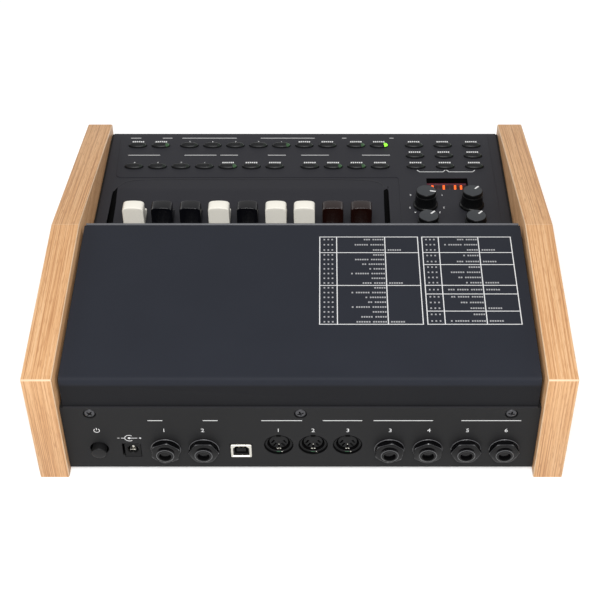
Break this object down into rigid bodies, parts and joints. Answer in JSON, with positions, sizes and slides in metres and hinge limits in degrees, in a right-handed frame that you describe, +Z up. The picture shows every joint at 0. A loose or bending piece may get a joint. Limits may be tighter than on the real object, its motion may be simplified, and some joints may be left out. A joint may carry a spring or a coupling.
{
  "type": "organ sound module",
  "caption": "Table-top drawbar organ sound module: wooden cheeks, steel case, sloped panel of buttons and knobs, sliding drawbars, display, rear sockets.",
  "frame": {"origin": "bottom centre of the whole module's bounding box", "axes": "+Z up, -Y towards the player, +Y out of the socket panel, +X towards the player's right"},
  "size_m": [0.305, 0.2836, 0.0843],
  "materials": {
    "oak_laminate": "light oak laminate, satin",
    "black_steel": "black powder coat, fine texture",
    "panel_steel": "dark grey, matt",
    "black_plastic": "matt black",
    "ivory_plastic": "ivory, half gloss",
    "gloss_black": "black, gloss",
    "brown_plastic": "dark brown, gloss",
    "circuit_board": "green solder mask",
    "display_red": "red window"
  },
  "bodies": {
    "case": {"audio_socket_board": "black_plastic", "base_tray": "black_steel", "cheek_left": "oak_laminate", "cheek_right": "oak_laminate", "control_panel": "panel_steel", "data_socket_board": "black_plastic", "display_module": "display_red", "drawbar_guide": "black_plastic", "drawbar_well": "black_plastic", "fader_board": "circuit_board", "main_board": "circuit_board", "panel_board": "circuit_board", "pedal_socket_board": "black_plastic", "power_board": "black_plastic", "top_cover": "black_steel"},
    "knob_vibrato": {"knob_vibrato": "black_plastic"},
    "knob_tone": {"knob_tone": "black_plastic"},
    "knob_volume": {"knob_volume": "black_plastic"},
    "knob_reverb": {"knob_reverb": "black_plastic"},
    "drawbar_1": {"drawbar_1": "ivory_plastic"},
    "drawbar_2": {"drawbar_2": "gloss_black"},
    "drawbar_3": {"drawbar_3": "gloss_black"},
    "drawbar_4": {"drawbar_4": "ivory_plastic"},
    "drawbar_5": {"drawbar_5": "gloss_black"},
    "drawbar_6": {"drawbar_6": "ivory_plastic"},
    "drawbar_7": {"drawbar_7": "ivory_plastic"},
    "drawbar_8": {"drawbar_8": "brown_plastic"},
    "drawbar_9": {"drawbar_9": "brown_plastic"},
    "power_button": {"power_button": "black_plastic"},
    "button_rotary_1": {"button_rotary_1": "black_plastic"},
    "button_rotary_2": {"button_rotary_2": "black_plastic"},
    "button_memory_1": {"button_memory_1": "black_plastic"},
    "button_memory_2": {"button_memory_2": "black_plastic"},
    "button_memory_3": {"button_memory_3": "black_plastic"},
    "button_memory_4": {"button_memory_4": "black_plastic"},
    "button_memory_5": {"button_memory_5": "black_plastic"},
    "button_memory_6": {"button_memory_6": "black_plastic"},
    "button_memory_7": {"button_memory_7": "black_plastic"},
    "button_vibrato_1": {"button_vibrato_1": "black_plastic"},
    "button_vibrato_2": {"button_vibrato_2": "black_plastic"},
    "button_preset_1": {"button_preset_1": "black_plastic"},
    "button_preset_2": {"button_preset_2": "black_plastic"},
    "button_preset_3": {"button_preset_3": "black_plastic"},
    "button_preset_4": {"button_preset_4": "black_plastic"},
    "button_preset_5": {"button_preset_5": "black_plastic"},
    "button_preset_6": {"button_preset_6": "black_plastic"},
    "button_preset_7": {"button_preset_7": "black_plastic"},
    "button_percussion_1": {"button_percussion_1": "black_plastic"},
    "button_percussion_2": {"button_percussion_2": "black_plastic"},
    "button_percussion_3": {"button_percussion_3": "black_plastic"},
    "button_percussion_4": {"button_percussion_4": "black_plastic"},
    "button_edit_front_1": {"button_edit_front_1": "black_plastic"},
    "button_edit_front_2": {"button_edit_front_2": "black_plastic"},
    "button_edit_front_3": {"button_edit_front_3": "black_plastic"},
    "button_edit_middle_1": {"button_edit_middle_1": "black_plastic"},
    "button_edit_middle_2": {"button_edit_middle_2": "black_plastic"},
    "button_edit_middle_3": {"button_edit_middle_3": "black_plastic"},
    "button_edit_rear_1": {"button_edit_rear_1": "black_plastic"},
    "button_edit_rear_2": {"button_edit_rear_2": "black_plastic"},
    "button_edit_rear_3": {"button_edit_rear_3": "black_plastic"}
  },
  "joints": [
    {"name": "knob_vibrato_turn", "type": "hinge", "parent": "case", "child": "knob_vibrato", "pos_m": [-0.07985, -0.04685, 0.04763], "axis": [0, -0.1018, 0.9948], "range_deg": [-150, 0]},
    {"name": "knob_tone_turn", "type": "hinge", "parent": "case", "child": "knob_tone", "pos_m": [-0.11005, -0.04685, 0.04763], "axis": [0, -0.1018, 0.9948], "range_deg": [-290, 0]},
    {"name": "knob_volume_turn", "type": "hinge", "parent": "case", "child": "knob_volume", "pos_m": [-0.07985, -0.01899, 0.05048], "axis": [0, -0.1018, 0.9948], "range_deg": [-290, 0]},
    {"name": "knob_reverb_turn", "type": "hinge", "parent": "case", "child": "knob_reverb", "pos_m": [-0.11005, -0.01899, 0.05048], "axis": [0, -0.1018, 0.9948], "range_deg": [-290, 0]},
    {"name": "drawbar_1_slide", "type": "slide", "parent": "case", "child": "drawbar_1", "axis": [0, 1, 0], "range_m": [0, 0.03]},
    {"name": "drawbar_2_slide", "type": "slide", "parent": "case", "child": "drawbar_2", "axis": [0, 1, 0], "range_m": [0, 0.03]},
    {"name": "drawbar_3_slide", "type": "slide", "parent": "case", "child": "drawbar_3", "axis": [0, 1, 0], "range_m": [0, 0.03]},
    {"name": "drawbar_4_slide", "type": "slide", "parent": "case", "child": "drawbar_4", "axis": [0, 1, 0], "range_m": [0, 0.03]},
    {"name": "drawbar_5_slide", "type": "slide", "parent": "case", "child": "drawbar_5", "axis": [0, 1, 0], "range_m": [0, 0.03]},
    {"name": "drawbar_6_slide", "type": "slide", "parent": "case", "child": "drawbar_6", "axis": [0, 1, 0], "range_m": [0, 0.03]},
    {"name": "drawbar_7_slide", "type": "slide", "parent": "case", "child": "drawbar_7", "axis": [0, 1, 0], "range_m": [0, 0.03]},
    {"name": "drawbar_8_slide", "type": "slide", "parent": "case", "child": "drawbar_8", "axis": [0, 1, 0], "range_m": [0, 0.03]},
    {"name": "drawbar_9_slide", "type": "slide", "parent": "case", "child": "drawbar_9", "axis": [0, 1, 0], "range_m": [0, 0.03]},
    {"name": "power_button_press", "type": "slide", "parent": "case", "child": "power_button", "axis": [0, -1, 0], "range_m": [0, 0.0025], "stiffness_N_per_m": 800},
    {"name": "button_rotary_1_press", "type": "slide", "parent": "case", "child": "button_rotary_1", "axis": [0, 0.1018, -0.9948], "range_m": [0, 0.0008], "stiffness_N_per_m": 1500},
    {"name": "button_rotary_2_press", "type": "slide", "parent": "case", "child": "button_rotary_2", "axis": [0, 0.1018, -0.9948], "range_m": [0, 0.0008], "stiffness_N_per_m": 1500},
    {"name": "button_memory_1_press", "type": "slide", "parent": "case", "child": "button_memory_1", "axis": [0, 0.1018, -0.9948], "range_m": [0, 0.0008], "stiffness_N_per_m": 1500},
    {"name": "button_memory_2_press", "type": "slide", "parent": "case", "child": "button_memory_2", "axis": [0, 0.1018, -0.9948], "range_m": [0, 0.0008], "stiffness_N_per_m": 1500},
    {"name": "button_memory_3_press", "type": "slide", "parent": "case", "child": "button_memory_3", "axis": [0, 0.1018, -0.9948], "range_m": [0, 0.0008], "stiffness_N_per_m": 1500},
    {"name": "button_memory_4_press", "type": "slide", "parent": "case", "child": "button_memory_4", "axis": [0, 0.1018, -0.9948], "range_m": [0, 0.0008], "stiffness_N_per_m": 1500},
    {"name": "button_memory_5_press", "type": "slide", "parent": "case", "child": "button_memory_5", "axis": [0, 0.1018, -0.9948], "range_m": [0, 0.0008], "stiffness_N_per_m": 1500},
    {"name": "button_memory_6_press", "type": "slide", "parent": "case", "child": "button_memory_6", "axis": [0, 0.1018, -0.9948], "range_m": [0, 0.0008], "stiffness_N_per_m": 1500},
    {"name": "button_memory_7_press", "type": "slide", "parent": "case", "child": "button_memory_7", "axis": [0, 0.1018, -0.9948], "range_m": [0, 0.0008], "stiffness_N_per_m": 1500},
    {"name": "button_vibrato_1_press", "type": "slide", "parent": "case", "child": "button_vibrato_1", "axis": [0, 0.1018, -0.9948], "range_m": [0, 0.0008], "stiffness_N_per_m": 1500},
    {"name": "button_vibrato_2_press", "type": "slide", "parent": "case", "child": "button_vibrato_2", "axis": [0, 0.1018, -0.9948], "range_m": [0, 0.0008], "stiffness_N_per_m": 1500},
    {"name": "button_preset_1_press", "type": "slide", "parent": "case", "child": "button_preset_1", "axis": [0, 0.1018, -0.9948], "range_m": [0, 0.0008], "stiffness_N_per_m": 1500},
    {"name": "button_preset_2_press", "type": "slide", "parent": "case", "child": "button_preset_2", "axis": [0, 0.1018, -0.9948], "range_m": [0, 0.0008], "stiffness_N_per_m": 1500},
    {"name": "button_preset_3_press", "type": "slide", "parent": "case", "child": "button_preset_3", "axis": [0, 0.1018, -0.9948], "range_m": [0, 0.0008], "stiffness_N_per_m": 1500},
    {"name": "button_preset_4_press", "type": "slide", "parent": "case", "child": "button_preset_4", "axis": [0, 0.1018, -0.9948], "range_m": [0, 0.0008], "stiffness_N_per_m": 1500},
    {"name": "button_preset_5_press", "type": "slide", "parent": "case", "child": "button_preset_5", "axis": [0, 0.1018, -0.9948], "range_m": [0, 0.0008], "stiffness_N_per_m": 1500},
    {"name": "button_preset_6_press", "type": "slide", "parent": "case", "child": "button_preset_6", "axis": [0, 0.1018, -0.9948], "range_m": [0, 0.0008], "stiffness_N_per_m": 1500},
    {"name": "button_preset_7_press", "type": "slide", "parent": "case", "child": "button_preset_7", "axis": [0, 0.1018, -0.9948], "range_m": [0, 0.0008], "stiffness_N_per_m": 1500},
    {"name": "button_percussion_1_press", "type": "slide", "parent": "case", "child": "button_percussion_1", "axis": [0, 0.1018, -0.9948], "range_m": [0, 0.0008], "stiffness_N_per_m": 1500},
    {"name": "button_percussion_2_press", "type": "slide", "parent": "case", "child": "button_percussion_2", "axis": [0, 0.1018, -0.9948], "range_m": [0, 0.0008], "stiffness_N_per_m": 1500},
    {"name": "button_percussion_3_press", "type": "slide", "parent": "case", "child": "button_percussion_3", "axis": [0, 0.1018, -0.9948], "range_m": [0, 0.0008], "stiffness_N_per_m": 1500},
    {"name": "button_percussion_4_press", "type": "slide", "parent": "case", "child": "button_percussion_4", "axis": [0, 0.1018, -0.9948], "range_m": [0, 0.0008], "stiffness_N_per_m": 1500},
    {"name": "button_edit_front_1_press", "type": "slide", "parent": "case", "child": "button_edit_front_1", "axis": [0, 0.1018, -0.9948], "range_m": [0, 0.0008], "stiffness_N_per_m": 1500},
    {"name": "button_edit_front_2_press", "type": "slide", "parent": "case", "child": "button_edit_front_2", "axis": [0, 0.1018, -0.9948], "range_m": [0, 0.0008], "stiffness_N_per_m": 1500},
    {"name": "button_edit_front_3_press", "type": "slide", "parent": "case", "child": "button_edit_front_3", "axis": [0, 0.1018, -0.9948], "range_m": [0, 0.0008], "stiffness_N_per_m": 1500},
    {"name": "button_edit_middle_1_press", "type": "slide", "parent": "case", "child": "button_edit_middle_1", "axis": [0, 0.1018, -0.9948], "range_m": [0, 0.0008], "stiffness_N_per_m": 1500},
    {"name": "button_edit_middle_2_press", "type": "slide", "parent": "case", "child": "button_edit_middle_2", "axis": [0, 0.1018, -0.9948], "range_m": [0, 0.0008], "stiffness_N_per_m": 1500},
    {"name": "button_edit_middle_3_press", "type": "slide", "parent": "case", "child": "button_edit_middle_3", "axis": [0, 0.1018, -0.9948], "range_m": [0, 0.0008], "stiffness_N_per_m": 1500},
    {"name": "button_edit_rear_1_press", "type": "slide", "parent": "case", "child": "button_edit_rear_1", "axis": [0, 0.1018, -0.9948], "range_m": [0, 0.0008], "stiffness_N_per_m": 1500},
    {"name": "button_edit_rear_2_press", "type": "slide", "parent": "case", "child": "button_edit_rear_2", "axis": [0, 0.1018, -0.9948], "range_m": [0, 0.0008], "stiffness_N_per_m": 1500},
    {"name": "button_edit_rear_3_press", "type": "slide", "parent": "case", "child": "button_edit_rear_3", "axis": [0, 0.1018, -0.9948], "range_m": [0, 0.0008], "stiffness_N_per_m": 1500}
  ]
}
